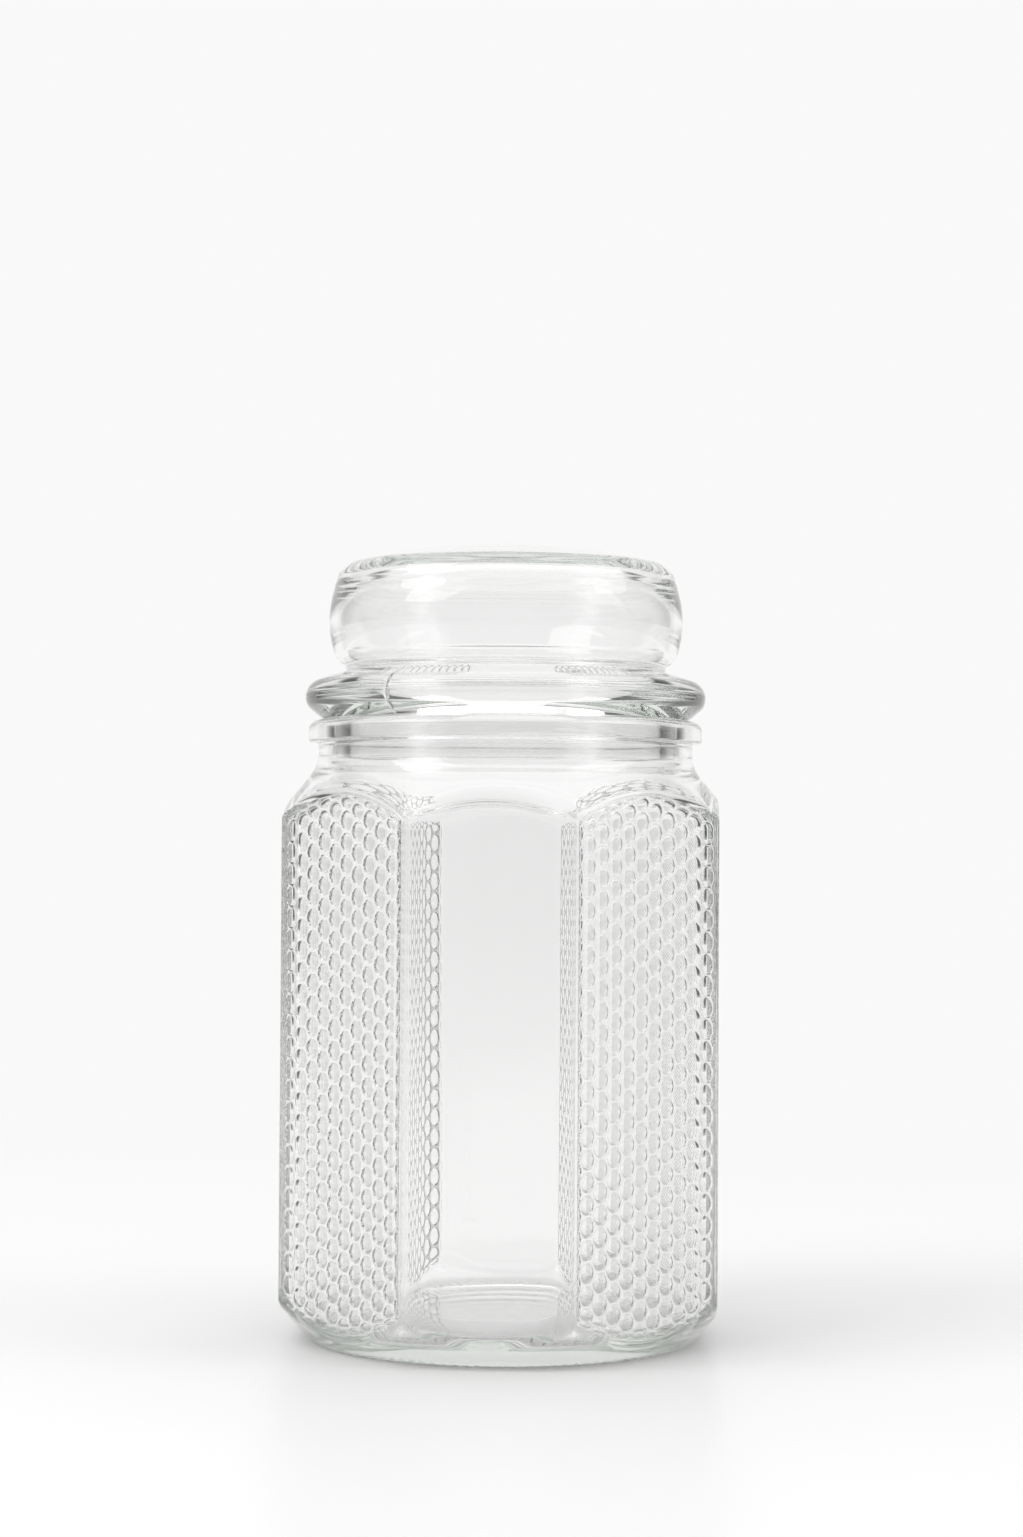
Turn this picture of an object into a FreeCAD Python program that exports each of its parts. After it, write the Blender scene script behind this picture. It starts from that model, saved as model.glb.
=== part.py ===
"""Dome-lid storage jar: an eight-sided glass jar and the blown glass lid that rests in its mouth.

Millimetres, +Z up. The origin is the middle of the ring that the jar stands on.
The four plain sides face along X and Y, and the four honeycomb sides face along the diagonals.
A change to one size carries along what fits it: the neck, the mouth and the lid follow the
jar's round blank, and each height is stacked on the one below.
"""
import FreeCAD
import Part

import math
import os

# ---------------------------------------------------------------- jar, outside
BLANK_RADIUS = 52.1  # the round form that the sides are cut from, seen at the upright corners
BLANK_EDGE_ROUND = 6.0  # rounding where the blank turns into the shoulder
PLAIN_CUT = 3.1  # how deep a plain side is cut into the blank
HONEYCOMB_CUT = 4.4

HEEL_INSET = 7.9  # from the blank in to where the heel's cone would meet the ground
HEEL_HEIGHT = 8.9
HEEL_ROUND = 4.0
FOOT_ROUND = 1.8
BEARING_WIDTH = 3.0  # flat ring that the jar stands on
PUSH_UP = 2.6  # rise of the hollow under the base
PUSH_UP_FLAT_RADIUS = 20.0  # flat middle of that hollow
PUSH_UP_ROUND = 40.0

BODY_HEIGHT = 118.3  # from the ground to the foot of the shoulder's cone
SHOULDER_WIDTH = 9.3  # from the blank in to the neck
SHOULDER_RISE = 11.3
NECK_LENGTH = 5.3  # from the top of the shoulder's cone to the band
NECK_ROUND = 8.0

BAND_STEP = 2.2  # how far the band round the mouth stands out from the neck
BAND_HEIGHT = 5.0
BAND_TOP_ROUND = 2.0
BAND_LOWER_ROUND = 0.7
BAND_ROOT_ROUND = 0.8

# ---------------------------------------------------------------- jar, inside
PLAIN_WALL = 3.5
HONEYCOMB_WALL = 3.5
SHOULDER_WALL = 3.4
NECK_WALL = 3.5
INNER_CORNER_ROUND = 6.0  # upright inner corners, softer than the outer ones
MOUTH_EDGE_ROUND = 1.0
MOUTH_ROOT_ROUND = 5.0
FLOOR_HEIGHT = 5.7  # inner floor beside the wall
FLOOR_CROWN = 1.0  # rise of the inner floor at its middle
FLOOR_CROWN_RADIUS = 18.0  # flat middle of the inner floor
FLOOR_CROWN_ROUND = 60.0
FLOOR_CORNER_ROUND = 7.0

# ---------------------------------------------------------------- lid, outside
LID_SEAT_CLEARANCE = 0.3  # between the jar's top and the lid's flange
STOPPER_CLEARANCE = 0.4  # between the mouth and the lid's stopper, on the radius
STOPPER_DEPTH = 10.6  # below the flange
STOPPER_ROUND = 1.2
STOPPER_ROOT_ROUND = 0.6

FLANGE_OVERHANG = 0.75  # how far the flange stands out past the jar's band
FLANGE_SEAT_INSET = 4.0  # from the flange's edge in to the flat that rests on the jar
FLANGE_LOWER_RISE = 3.3  # from the seat to the flange's edge
FLANGE_EDGE_RISE = 4.8  # height of the flange's edge
FLANGE_UPPER_RISE = 3.5  # from the flange's edge to the waist
FLANGE_UPPER_ROUND = 4.0
FLANGE_LOWER_ROUND = 3.2

WAIST_INSET = 11.05  # from the flange's edge in to the bottom of the notch, before its rounding
WAIST_ROUND = 1.05
BULB_INSET = 4.35  # from the flange's edge in to the bulb's widest place
BULB_LOWER_INSET = 2.5  # from the bulb's widest place in to its lower turn
BULB_TOP_INSET = 3.5  # from the bulb's widest place in to its upper turn
BULB_FOOT_RISE = 1.8  # from the waist to the bulb's lower turn
BULB_LOWER_RISE = 9.4  # from the lower turn to the widest place
BULB_UPPER_RISE = 12.4  # from the widest place to the upper turn
CROWN_RISE = 4.2  # from the upper turn to the top
CROWN_WIDTH = 15.9  # from the upper turn in to the flat middle of the top, before its rounding
BULB_LOWER_ROUND = 3.5
BULB_SIDE_ROUND = 24.0
BULB_TOP_ROUND = 5.0
CROWN_ROUND = 88.0

# ---------------------------------------------------------------- lid, inside
LID_WALL = 3.0
LID_TOP_WALL = 3.2
STOPPER_WALL = 3.3
INNER_WAIST_ROUND = 10.0
INNER_BULB_ROUND = 12.0
INNER_CROWN_ROUND = 68.0

# ---------------------------------------------------------------- modelling aids
CUT_OVERRUN = 1.0  # how far a cutting form runs past what it cuts
SAME_POINT = 1e-6  # points nearer than this are one point
EDGE_TOLERANCE = 0.1  # for finding an edge by where it lies
UPRIGHT = 0.99  # an edge whose direction rises at least this much is upright

# ---------------------------------------------------------------- sizes that follow from those above
PLAIN_SIDE = BLANK_RADIUS - PLAIN_CUT  # from the axis to a plain side
HONEYCOMB_SIDE = BLANK_RADIUS - HONEYCOMB_CUT
FOOT_RADIUS = BLANK_RADIUS - HEEL_INSET
NECK_RADIUS = BLANK_RADIUS - SHOULDER_WIDTH
BAND_RADIUS = NECK_RADIUS + BAND_STEP
MOUTH_RADIUS = NECK_RADIUS - NECK_WALL

NECK_HEIGHT = BODY_HEIGHT + SHOULDER_RISE
BAND_FOOT = NECK_HEIGHT + NECK_LENGTH
JAR_HEIGHT = BAND_FOOT + BAND_HEIGHT

FLANGE_RADIUS = BAND_RADIUS + FLANGE_OVERHANG
STOPPER_RADIUS = MOUTH_RADIUS - STOPPER_CLEARANCE
WAIST_RADIUS = FLANGE_RADIUS - WAIST_INSET
BULB_RADIUS = FLANGE_RADIUS - BULB_INSET
BULB_TOP_RADIUS = BULB_RADIUS - BULB_TOP_INSET
CROWN_RADIUS = BULB_TOP_RADIUS - CROWN_WIDTH

SEAT = JAR_HEIGHT + LID_SEAT_CLEARANCE
STOPPER_END = SEAT - STOPPER_DEPTH
FLANGE_LOWER_EDGE = SEAT + FLANGE_LOWER_RISE
FLANGE_UPPER_EDGE = FLANGE_LOWER_EDGE + FLANGE_EDGE_RISE
WAIST = FLANGE_UPPER_EDGE + FLANGE_UPPER_RISE
BULB_LOWER_TURN = WAIST + BULB_FOOT_RISE
BULB_WIDEST = BULB_LOWER_TURN + BULB_LOWER_RISE
BULB_UPPER_TURN = BULB_WIDEST + BULB_UPPER_RISE
LID_TOP = BULB_UPPER_TURN + CROWN_RISE


def rounded_outline(corners):
    """Closed wire in the XZ plane through (radius, height, rounding) corners, with tangent arcs.

    Two roundings that need more than the length of the line between them are both made smaller to fit it.
    """
    count = len(corners)
    points = [FreeCAD.Vector(radius, 0, height) for radius, height, rounding in corners]
    backs = [(points[index - 1] - points[index]).normalize() for index in range(count)]
    aheads = [(points[(index + 1) % count] - points[index]).normalize() for index in range(count)]
    half_angles = [back.getAngle(ahead) / 2 for back, ahead in zip(backs, aheads)]
    reaches = [corner[2] / math.tan(half_angle) for corner, half_angle in zip(corners, half_angles)]
    shares = []
    for index in range(count):
        length = points[index].distanceToPoint(points[index - 1])
        wanted = reaches[index] + reaches[index - 1]
        shares.append(min(1, length / wanted) if wanted > 0 else 1)

    starts = []
    ends = []
    edges = []
    for index, (radius, height, rounding) in enumerate(corners):
        share = min(shares[index], shares[(index + 1) % count])
        start = points[index] + backs[index] * reaches[index] * share
        end = points[index] + aheads[index] * reaches[index] * share
        starts.append(start)
        ends.append(end)
        if rounding > 0:
            bisector = (backs[index] + aheads[index]).normalize()
            half_angle = half_angles[index]
            apex = points[index] + bisector * rounding * share * (1 / math.sin(half_angle) - 1)
            edges.append(Part.Arc(start, apex, end).toShape())
    for index in range(count):
        end = ends[index - 1]
        start = starts[index]
        if end.distanceToPoint(start) > SAME_POINT:
            edges.append(Part.makeLine(end, start))
    return Part.Wire(Part.__sortEdges__(edges))


def turned(corners):
    """Solid of revolution about Z of an outline given as (radius, height, rounding) corners."""
    face = Part.Face(rounded_outline(corners))
    return face.revolve(FreeCAD.Vector(0, 0, 0), FreeCAD.Vector(0, 0, 1), 360)


def eight_sided_prism(plain_side, honeycomb_side, corner_round, bottom, top):
    """Upright prism whose plain sides face X and Y and whose honeycomb sides face the diagonals."""
    half_side = math.sqrt(2) * honeycomb_side - plain_side
    points = []
    for quarter in range(4):
        turn = FreeCAD.Rotation(FreeCAD.Vector(0, 0, 1), 90 * quarter)
        for side in (-half_side, half_side):
            points.append(turn.multVec(FreeCAD.Vector(plain_side, side, 0)) + FreeCAD.Vector(0, 0, bottom))
    outline = Part.makePolygon(points + points[:1])
    prism = Part.Face(outline).extrude(FreeCAD.Vector(0, 0, top - bottom))
    if corner_round <= 0:
        return prism
    upright = [edge for edge in prism.Edges if abs(edge.tangentAt(edge.FirstParameter).z) > UPRIGHT]
    return prism.makeFillet(corner_round, upright)


def jar_outside():
    """The turned blank with its heel, shoulder, neck and band, cut to eight sides."""
    bearing_inner = FOOT_RADIUS - FOOT_ROUND - BEARING_WIDTH
    blank = turned([
        (0, PUSH_UP, 0),
        (PUSH_UP_FLAT_RADIUS, PUSH_UP, PUSH_UP_ROUND),
        (bearing_inner, 0, FOOT_ROUND),
        (FOOT_RADIUS, 0, FOOT_ROUND),
        (BLANK_RADIUS, HEEL_HEIGHT, HEEL_ROUND),
        (BLANK_RADIUS, BODY_HEIGHT, BLANK_EDGE_ROUND),
        (NECK_RADIUS, NECK_HEIGHT, NECK_ROUND),
        (NECK_RADIUS, BAND_FOOT, BAND_ROOT_ROUND),
        (BAND_RADIUS, BAND_FOOT, BAND_LOWER_ROUND),
        (BAND_RADIUS, JAR_HEIGHT, BAND_TOP_ROUND),
        (0, JAR_HEIGHT, 0),
    ])
    sides = eight_sided_prism(PLAIN_SIDE, HONEYCOMB_SIDE, 0, -CUT_OVERRUN, JAR_HEIGHT + CUT_OVERRUN)
    return blank.common(sides)


def jar_hollow():
    """The space inside the jar, open through the mouth."""
    over_top = JAR_HEIGHT + CUT_OVERRUN
    # the inner shoulder is the outer one moved in square to it by the wall
    slant = math.hypot(SHOULDER_WIDTH, SHOULDER_RISE)
    slope = SHOULDER_RISE / SHOULDER_WIDTH
    cone_radius = BLANK_RADIUS - SHOULDER_WALL * SHOULDER_RISE / slant
    cone_height = BODY_HEIGHT - SHOULDER_WALL * SHOULDER_WIDTH / slant
    inner_blank = BLANK_RADIUS - SHOULDER_WALL
    blank_top = cone_height - (inner_blank - cone_radius) * slope
    mouth_root = cone_height - (MOUTH_RADIUS - cone_radius) * slope
    turned_space = turned([
        (0, FLOOR_HEIGHT + FLOOR_CROWN, 0),
        (FLOOR_CROWN_RADIUS, FLOOR_HEIGHT + FLOOR_CROWN, FLOOR_CROWN_ROUND),
        (inner_blank, FLOOR_HEIGHT, FLOOR_CORNER_ROUND),
        (inner_blank, blank_top, BLANK_EDGE_ROUND),
        (MOUTH_RADIUS, mouth_root, MOUTH_ROOT_ROUND),
        (MOUTH_RADIUS, over_top, 0),
        (0, over_top, 0),
    ])
    sides = eight_sided_prism(
        PLAIN_SIDE - PLAIN_WALL,
        HONEYCOMB_SIDE - HONEYCOMB_WALL,
        INNER_CORNER_ROUND,
        0,
        over_top + CUT_OVERRUN,
    )
    return turned_space.common(sides)


def jar():
    """Jar body in one piece of glass, with the inner edge of its mouth rounded."""
    body = jar_outside().cut(jar_hollow()).removeSplitter()
    mouth_edges = [
        edge for edge in body.Edges
        if abs(edge.CenterOfMass.z - JAR_HEIGHT) < EDGE_TOLERANCE
        and abs(edge.BoundBox.XMax - MOUTH_RADIUS) < EDGE_TOLERANCE
    ]
    return body.makeFillet(MOUTH_EDGE_ROUND, mouth_edges)


def lid():
    """Blown lid in one piece of glass: stopper, rounded flange, waist and wide low bulb."""
    return turned([
        # outside, from the middle of the top down to the stopper's end
        (0, LID_TOP, 0),
        (CROWN_RADIUS, LID_TOP, CROWN_ROUND),
        (BULB_TOP_RADIUS, BULB_UPPER_TURN, BULB_TOP_ROUND),
        (BULB_RADIUS, BULB_WIDEST, BULB_SIDE_ROUND),
        (BULB_RADIUS - BULB_LOWER_INSET, BULB_LOWER_TURN, BULB_LOWER_ROUND),
        (WAIST_RADIUS, WAIST, WAIST_ROUND),
        (FLANGE_RADIUS, FLANGE_UPPER_EDGE, FLANGE_UPPER_ROUND),
        (FLANGE_RADIUS, FLANGE_LOWER_EDGE, FLANGE_LOWER_ROUND),
        (FLANGE_RADIUS - FLANGE_SEAT_INSET, SEAT, STOPPER_ROOT_ROUND),
        (STOPPER_RADIUS, SEAT, STOPPER_ROOT_ROUND),
        (STOPPER_RADIUS, STOPPER_END, STOPPER_ROUND),
        # inside, back up to the middle of the top
        (STOPPER_RADIUS - STOPPER_WALL, STOPPER_END, STOPPER_ROUND),
        (STOPPER_RADIUS - STOPPER_WALL, SEAT, INNER_WAIST_ROUND),
        (WAIST_RADIUS - LID_WALL, WAIST, INNER_WAIST_ROUND),
        (BULB_RADIUS - LID_WALL, BULB_WIDEST, INNER_BULB_ROUND),
        (BULB_TOP_RADIUS - LID_WALL, BULB_UPPER_TURN - LID_TOP_WALL, BULB_TOP_ROUND),
        (CROWN_RADIUS, LID_TOP - LID_TOP_WALL, INNER_CROWN_ROUND),
        (0, LID_TOP - LID_TOP_WALL, 0),
    ])


def main():
    os.makedirs("parts", exist_ok=True)
    for name, solid in (("jar", jar()), ("lid", lid())):
        solid.exportStep(f"parts/{name}.step")
        print(f"{name}: valid {solid.isValid()}, {len(solid.Solids)} solid, {solid.Volume / 1000:.1f} cm3")


main()
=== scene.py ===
# %% [markdown]
# A dome-lid storage jar: an empty glass jar with eight sides, and a blown glass lid that rests loose in its mouth.
# The real jar is pressed or blown into an iron mould. Four of its sides stay plain and four carry a honeycomb of
# raised ridges. Its foot is knurled, and the lid has thin lines where the parts of its own mould met.
# Glass has no colour of its own to speak of. What the eye reads is how its two surfaces bend the light, so each
# piece here is a closed shell of true thickness, with the relief modelled and not painted.
import math

import bmesh
import bpy
import numpy as np
from mathutils import Euler, Matrix, Vector, noise


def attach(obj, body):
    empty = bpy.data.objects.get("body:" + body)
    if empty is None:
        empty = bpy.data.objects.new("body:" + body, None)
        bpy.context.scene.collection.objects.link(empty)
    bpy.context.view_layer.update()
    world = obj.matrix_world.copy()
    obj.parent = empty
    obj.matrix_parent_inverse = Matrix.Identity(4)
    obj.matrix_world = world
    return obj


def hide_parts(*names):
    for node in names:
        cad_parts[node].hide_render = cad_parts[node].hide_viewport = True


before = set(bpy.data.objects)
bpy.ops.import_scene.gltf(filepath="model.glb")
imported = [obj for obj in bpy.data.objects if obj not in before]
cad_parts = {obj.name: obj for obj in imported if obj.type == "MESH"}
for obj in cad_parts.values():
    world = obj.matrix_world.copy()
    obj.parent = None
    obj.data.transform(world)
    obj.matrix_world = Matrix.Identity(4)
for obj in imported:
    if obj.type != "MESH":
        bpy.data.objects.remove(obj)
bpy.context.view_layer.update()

MM = 0.001  # sizes are written in millimetres and put into metres when a piece is finished

# %% [markdown]
# The outline of a turned glass piece is a few corners with a rounding each, as a mould maker draws it.
# This helper gives the points of such an outline, with the arcs cut into short chords.

# %% Rounded outlines
def rounded_outline(corners, chord_angle=11.0):
    """Open outline of (radius, height) points through (radius, height, rounding) corners."""
    outline = []
    for index, (radius, height, rounding) in enumerate(corners):
        corner = Vector((radius, height))
        if rounding <= 0 or index in (0, len(corners) - 1):
            outline.append(corner)
            continue
        back = (Vector(corners[index - 1][:2]) - corner).normalized()
        ahead = (Vector(corners[index + 1][:2]) - corner).normalized()
        half_angle = back.angle(ahead) / 2
        centre = corner + (back + ahead).normalized() * rounding / math.sin(half_angle)
        start = corner + back * rounding / math.tan(half_angle) - centre
        turn = math.pi - 2 * half_angle
        if start.x * back.y - start.y * back.x > 0:
            turn = -turn
        steps = max(2, math.ceil(math.degrees(abs(turn)) / chord_angle))
        for step in range(steps + 1):
            angle = turn * step / steps
            spoke = Vector((
                start.x * math.cos(angle) - start.y * math.sin(angle),
                start.x * math.sin(angle) + start.y * math.cos(angle),
            ))
            outline.append(centre + spoke)
    return np.array([tuple(point) for point in outline])


# %% [markdown]
# The jar's own sizes. A round blank of glass is cut by eight flat sides. The four plain sides face along X and Y,
# and the four honeycomb sides face along the diagonals. The flats run out in arches on the sloping heel and
# shoulder, because there the blank gets narrower than the flats.

# %% Sizes of the jar
BLANK_RADIUS = 52.1
PLAIN_SIDE = 49.0
HONEYCOMB_SIDE = 47.7
SIDE_CORNER_ROUND = 1.6  # upright corners between the sides

FOOT_RADIUS = 44.2
FOOT_INNER_RADIUS = 39.4
FOOT_ROUND = 1.8
BASE_HOLLOW = 2.6  # rise of the hollow under the base
HEEL_HEIGHT = 8.9
HEEL_SLOPE = (BLANK_RADIUS - FOOT_RADIUS) / HEEL_HEIGHT
HEEL_SOFTNESS = 1.1  # how far the soft edge between flat and heel reaches, as a difference in radius
BODY_HEIGHT = 118.3
NECK_HEIGHT = 129.6
NECK_RADIUS = 42.8
SHOULDER_SLOPE = (BLANK_RADIUS - NECK_RADIUS) / (NECK_HEIGHT - BODY_HEIGHT)
SHOULDER_SOFTNESS = 0.8
BAND_RADIUS = 45.0
BAND_BOTTOM = 134.9
JAR_HEIGHT = 139.9
MOUTH_RADIUS = 39.3

PLAIN_COLUMNS = 20
HONEYCOMB_COLUMNS = 28
CORNER_COLUMNS = 5
HEEL_ROWS = 5
ARCH_ROWS = 6
BODY_ROWS = 22
SHOULDER_ROWS = 5
print(f"jar {JAR_HEIGHT} mm high, {2 * PLAIN_SIDE:.0f} mm across its plain sides")


# %% Where the flats meet the heel and the shoulder
def arch_top(section_radius, difference):
    """Height at which the shoulder's cone is wider than the side by this difference."""
    return BODY_HEIGHT + (BLANK_RADIUS - section_radius - difference) / SHOULDER_SLOPE


def arch_bottom(section_radius, difference):
    """Height at which the heel's cone is wider than the side by this difference."""
    return (section_radius + difference - FOOT_RADIUS) / HEEL_SLOPE


def soft_minimum(first, second, softness):
    """The smaller of two radii, with a soft change-over where they are nearly the same."""
    overlap = np.maximum(softness - np.abs(first - second), 0)
    return np.minimum(first, second) - overlap * overlap / (4 * softness)


# %% [markdown]
# The section is walked once round. Each side gives its own columns of points, and each upright corner a short
# arc. The honeycomb sides have more columns, because the honeycomb is laid on those points later.

# %% The eight-sided section, as columns of points all round
plain_half = math.sqrt(2) * HONEYCOMB_SIDE - PLAIN_SIDE
honeycomb_half = math.sqrt(2) * PLAIN_SIDE - HONEYCOMB_SIDE
corner_reach = SIDE_CORNER_ROUND * math.tan(math.radians(22.5))
HONEYCOMB_FLAT = honeycomb_half - corner_reach  # half of the flat part's width

section = []
honeycomb_columns = []
for side in range(8):
    if side % 2 == 0:
        distance, half, columns = PLAIN_SIDE, plain_half, PLAIN_COLUMNS
    else:
        distance, half, columns = HONEYCOMB_SIDE, honeycomb_half, HONEYCOMB_COLUMNS
        honeycomb_columns.append((len(section), columns))
    normal = Vector((math.cos(math.radians(45 * side)), math.sin(math.radians(45 * side))))
    along = Vector((-normal.y, normal.x))
    flat = half - corner_reach
    for column in range(columns):
        section.append(normal * distance + along * flat * (2 * column / columns - 1))
    corner = normal * (distance - SIDE_CORNER_ROUND) + along * flat
    for column in range(CORNER_COLUMNS):
        turn = math.radians(45 * side + 45 * column / CORNER_COLUMNS)
        section.append(corner + SIDE_CORNER_ROUND * Vector((math.cos(turn), math.sin(turn))))
section = np.array([tuple(point) for point in section])
COLUMNS = len(section)
section_radius = np.hypot(section[:, 0], section[:, 1])
section_angle = np.unwrap(np.arctan2(section[:, 1], section[:, 0]))
even_angle = section_angle[0] + np.arange(COLUMNS) * 2 * math.pi / COLUMNS
even_angle += np.mean(section_angle - even_angle)
print(f"section of {COLUMNS} columns, widest {section_radius.max():.2f} mm from the axis")

# %% [markdown]
# The shell is a grid of rows that run round the jar, each draped so that the rows meet the arches exactly.
# It starts at the middle of the base, goes up the outside, over the rim, down the inside and ends at the middle
# of the floor. The honeycomb sides are left open here: they're laid in afterwards.

# %% Rows of the shell
rows = []


def add_row(radius, height, angle):
    """One row round the jar. Each of the three may be one number or one for each column."""
    row = np.empty((COLUMNS, 3))
    row[:, 0] = radius * np.cos(angle)
    row[:, 1] = radius * np.sin(angle)
    row[:, 2] = height
    rows.append(row)


def add_arch(arch, softness, first_sign):
    """The rows across the soft edge between the flats and the heel or the shoulder."""
    for step in range(1, ARCH_ROWS + 1):
        difference = softness * first_sign * (1 - 2 * step / ARCH_ROWS)
        radius = soft_minimum(section_radius + difference, section_radius, softness)
        add_row(radius, arch(section_radius, difference), section_angle)


base_outline = rounded_outline([
    (0.0, BASE_HOLLOW, 0),
    (20.0, BASE_HOLLOW, 40.0),
    (FOOT_INNER_RADIUS, 0.0, FOOT_ROUND),
    (FOOT_RADIUS, 0.0, FOOT_ROUND),
    (BLANK_RADIUS, HEEL_HEIGHT, 0),
])
foot_top = base_outline[-2][1]
for radius, height in base_outline[1:-1]:
    add_row(radius, height, even_angle)
base_rows = len(rows)
print(f"base: {base_rows} rows")

# %% Heel, body and shoulder
heel_top = arch_bottom(section_radius, -HEEL_SOFTNESS)
for step in range(1, HEEL_ROWS + 1):
    share = step / HEEL_ROWS
    height = foot_top + (heel_top - foot_top) * share
    add_row(FOOT_RADIUS + HEEL_SLOPE * height, height, even_angle + (section_angle - even_angle) * share)

add_arch(arch_bottom, HEEL_SOFTNESS, -1)
body_first = len(rows) - 1

side_bottom = arch_bottom(section_radius, HEEL_SOFTNESS)
side_top = arch_top(section_radius, SHOULDER_SOFTNESS)
for step in range(1, BODY_ROWS + 1):
    add_row(section_radius, side_bottom + (side_top - side_bottom) * step / BODY_ROWS, section_angle)
body_last = len(rows) - 1

add_arch(arch_top, SHOULDER_SOFTNESS, 1)
print(f"heel, body and shoulder: {len(rows) - base_rows} rows")

# %% Neck, band and rim
neck_outline = rounded_outline([
    (BLANK_RADIUS, BODY_HEIGHT, 0),
    (NECK_RADIUS, NECK_HEIGHT, 8.0),
    (NECK_RADIUS, BAND_BOTTOM, 0.8),
    (BAND_RADIUS, BAND_BOTTOM, 0.7),
    (BAND_RADIUS, JAR_HEIGHT, 2.0),
    (MOUTH_RADIUS, JAR_HEIGHT, 1.0),
    (MOUTH_RADIUS, BODY_HEIGHT, 0),
])
shoulder_foot = arch_top(section_radius, -SHOULDER_SOFTNESS)
shoulder_end = neck_outline[1][1]
for step in range(1, SHOULDER_ROWS):
    share = step / SHOULDER_ROWS
    height = shoulder_foot + (shoulder_end - shoulder_foot) * share
    radius = BLANK_RADIUS - SHOULDER_SLOPE * (height - BODY_HEIGHT)
    add_row(radius, height, section_angle + (even_angle - section_angle) * share)
for radius, height in neck_outline[1:-1]:
    add_row(radius, height, even_angle)
print(f"outside: {len(rows)} rows")

# %% [markdown]
# The inside is softer than the outside, because blown glass only follows the mould where it touches it. It is
# the same eight-sided form with much softer upright corners, a floor that swells a little at its middle, and a
# shoulder that runs parallel to the outer one.

# %% Rows of the inside
INNER_CORNER_ROUND = 6.0
INNER_BLANK = 48.7
INNER_SOFTNESS = 1.6
WALL = 3.5
SHOULDER_WALL = 3.4
FLOOR_EDGE = 5.7
FLOOR_MIDDLE = 6.7


def inner_wall_radius(direction):
    """Distance from the axis to the inner wall, in one direction."""
    side = round(math.degrees(direction) / 45)
    distance = (PLAIN_SIDE if side % 2 == 0 else HONEYCOMB_SIDE) - WALL
    next_distance = (HONEYCOMB_SIDE if side % 2 == 0 else PLAIN_SIDE) - WALL
    offset = direction - math.radians(45 * side)
    half = math.sqrt(2) * next_distance - distance
    reach = half - INNER_CORNER_ROUND * math.tan(math.radians(22.5))
    if abs(distance * math.tan(offset)) <= reach:
        return distance / math.cos(offset)
    centre = Vector((distance - INNER_CORNER_ROUND, math.copysign(1, offset) * reach))
    ahead = Vector((math.cos(offset), math.sin(offset))).dot(centre)
    return ahead + math.sqrt(max(0, INNER_CORNER_ROUND ** 2 - (centre.length_squared - ahead ** 2)))


wall_radius = np.array([inner_wall_radius(direction) for direction in even_angle])
slant = math.hypot(BLANK_RADIUS - NECK_RADIUS, NECK_HEIGHT - BODY_HEIGHT)
cone_radius = BLANK_RADIUS - SHOULDER_WALL * (NECK_HEIGHT - BODY_HEIGHT) / slant
cone_height = BODY_HEIGHT - SHOULDER_WALL * (BLANK_RADIUS - NECK_RADIUS) / slant
blank_top = cone_height - (INNER_BLANK - cone_radius) / SHOULDER_SLOPE
mouth_root = cone_height - (MOUTH_RADIUS - cone_radius) / SHOULDER_SLOPE
inner_outline = rounded_outline([
    (MOUTH_RADIUS, JAR_HEIGHT, 0),
    (MOUTH_RADIUS, mouth_root, 5.0),
    (INNER_BLANK, blank_top, 6.0),
    (INNER_BLANK, FLOOR_EDGE, 7.0),
    (18.0, FLOOR_MIDDLE, 60.0),
    (0.0, FLOOR_MIDDLE, 0),
], chord_angle=8.0)
print(f"inside: wall {WALL} mm, floor {FLOOR_MIDDLE - BASE_HOLLOW:.1f} mm thick at its middle")


# %% The inside's points, laid into rows
def divided(outline, longest):
    """The outline with its longer lines divided evenly, so that no step is longer than this."""
    points = [outline[0]]
    for start, end in zip(outline[:-1], outline[1:]):
        pieces = max(1, math.ceil(math.dist(start, end) / longest))
        points += [start + (end - start) * piece / pieces for piece in range(1, pieces + 1)]
    return np.array(points)


inner_points = divided(inner_outline, longest=5.0)
below_rim = inner_points[:, 1] < JAR_HEIGHT - 2.0  # the rim's own rows are laid already
off_axis = inner_points[:, 0] > 1.0  # the middle is closed by a fan
inner_points = inner_points[below_rim & off_axis]
for radius, height in inner_points:
    add_row(soft_minimum(np.full(COLUMNS, radius), wall_radius, INNER_SOFTNESS), height, even_angle)
print(f"whole shell: {len(rows)} rows, {len(rows) * COLUMNS} points")

# %% [markdown]
# Glass that was blown into a mould is never quite flat. A slow wave of a tenth of a millimetre or less is too
# small to see as a shape, but it bends what shows through the jar.

# %% Waves in the glass
OUTER_WAVE = 0.05
INNER_WAVE = 0.12
WAVE_LENGTH = 26.0
OUTER_SEED = 3.1
INNER_SEED = 11.7


def wave(row, depth, seed):
    """Moves a row's points in or out along their radius by a smooth, fixed noise."""
    for point in row:
        place = Vector(point) / WAVE_LENGTH + Vector((seed, 0, 0))
        radius = math.hypot(point[0], point[1])
        point[:2] *= 1 + depth * noise.noise(place) / max(radius, 1)


honeycomb_mask = np.zeros(COLUMNS, bool)
for first, columns in honeycomb_columns:
    honeycomb_mask[first:first + columns + 1] = True
for index in range(body_first + 1, body_last):
    plain_points = rows[index][~honeycomb_mask]
    wave(plain_points, OUTER_WAVE, OUTER_SEED)
    rows[index][~honeycomb_mask] = plain_points
for row in rows[-len(inner_points):]:
    wave(row, INNER_WAVE, INNER_SEED)
print(f"waves of up to {INNER_WAVE} mm, {WAVE_LENGTH:.0f} mm long")

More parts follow.
